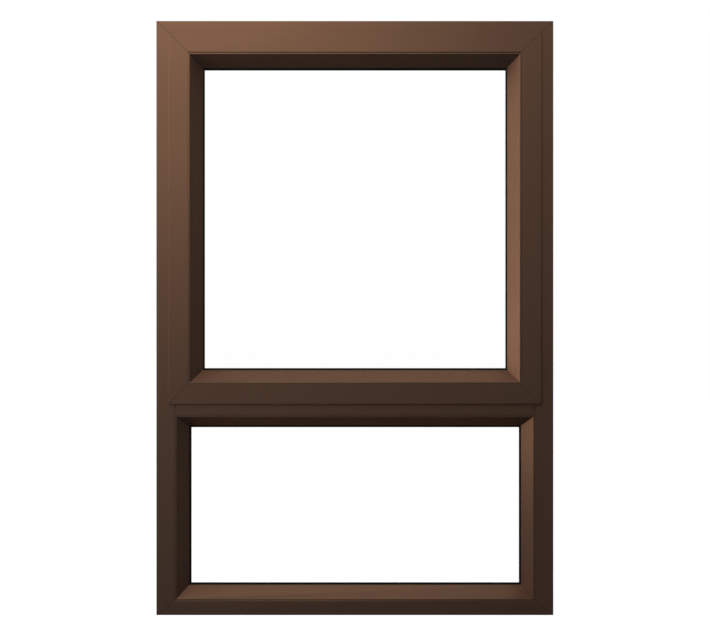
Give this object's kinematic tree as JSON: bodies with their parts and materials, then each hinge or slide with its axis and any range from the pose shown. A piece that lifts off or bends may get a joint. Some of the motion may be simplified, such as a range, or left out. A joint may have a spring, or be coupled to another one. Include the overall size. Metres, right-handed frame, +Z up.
{
  "type": "aluminium window",
  "caption": "Bronze aluminium window with a square top-hung sash above a fixed light, mitred frames and bevelled glazing beads.",
  "frame": {"origin": "middle of the sill's underside, halfway through the frame's depth", "axes": "+Z up, the outside faces -Y, +X to the right seen from outside"},
  "size_m": [0.6, 0.0516, 0.898],
  "materials": {
    "bronze_aluminium": "satin",
    "clear_glass": "gloss",
    "black_rubber": "matte",
    "grey_plastic": "matte",
    "black_metal": "satin",
    "steel": "satin"
  },
  "bodies": {
    "root": {"fixed_adaptor_left": "bronze_aluminium", "fixed_adaptor_right": "bronze_aluminium", "fixed_bead_bottom": "bronze_aluminium", "fixed_bead_left": "bronze_aluminium", "fixed_bead_right": "bronze_aluminium", "fixed_bead_top": "bronze_aluminium", "fixed_gasket_inner": "black_rubber", "fixed_gasket_outer": "black_rubber", "fixed_glass": "clear_glass", "fixed_setting_blocks": "grey_plastic", "frame_head": "bronze_aluminium", "frame_jamb_left": "bronze_aluminium", "frame_jamb_right": "bronze_aluminium", "frame_sill": "bronze_aluminium", "frame_weather_seal": "black_rubber", "handle_base": "black_metal", "handle_keeper": "steel", "handle_lever": "black_metal", "handle_tongue": "black_metal", "sash_bead_bottom": "bronze_aluminium", "sash_bead_left": "bronze_aluminium", "sash_bead_right": "bronze_aluminium", "sash_bead_top": "bronze_aluminium", "sash_bottom_rail": "bronze_aluminium", "sash_gasket_inner": "black_rubber", "sash_gasket_outer": "black_rubber", "sash_glass": "clear_glass", "sash_setting_blocks": "grey_plastic", "sash_stile_left": "bronze_aluminium", "sash_stile_right": "bronze_aluminium", "sash_top_rail": "bronze_aluminium", "sash_weather_seal": "black_rubber", "stay_left_long_arm": "steel", "stay_left_sash_plate": "steel", "stay_left_short_arm": "steel", "stay_left_slider": "steel", "stay_left_track": "steel", "stay_right_long_arm": "steel", "stay_right_sash_plate": "steel", "stay_right_short_arm": "steel", "stay_right_slider": "steel", "stay_right_track": "steel", "transom": "bronze_aluminium"}
  },
  "joints": []
}
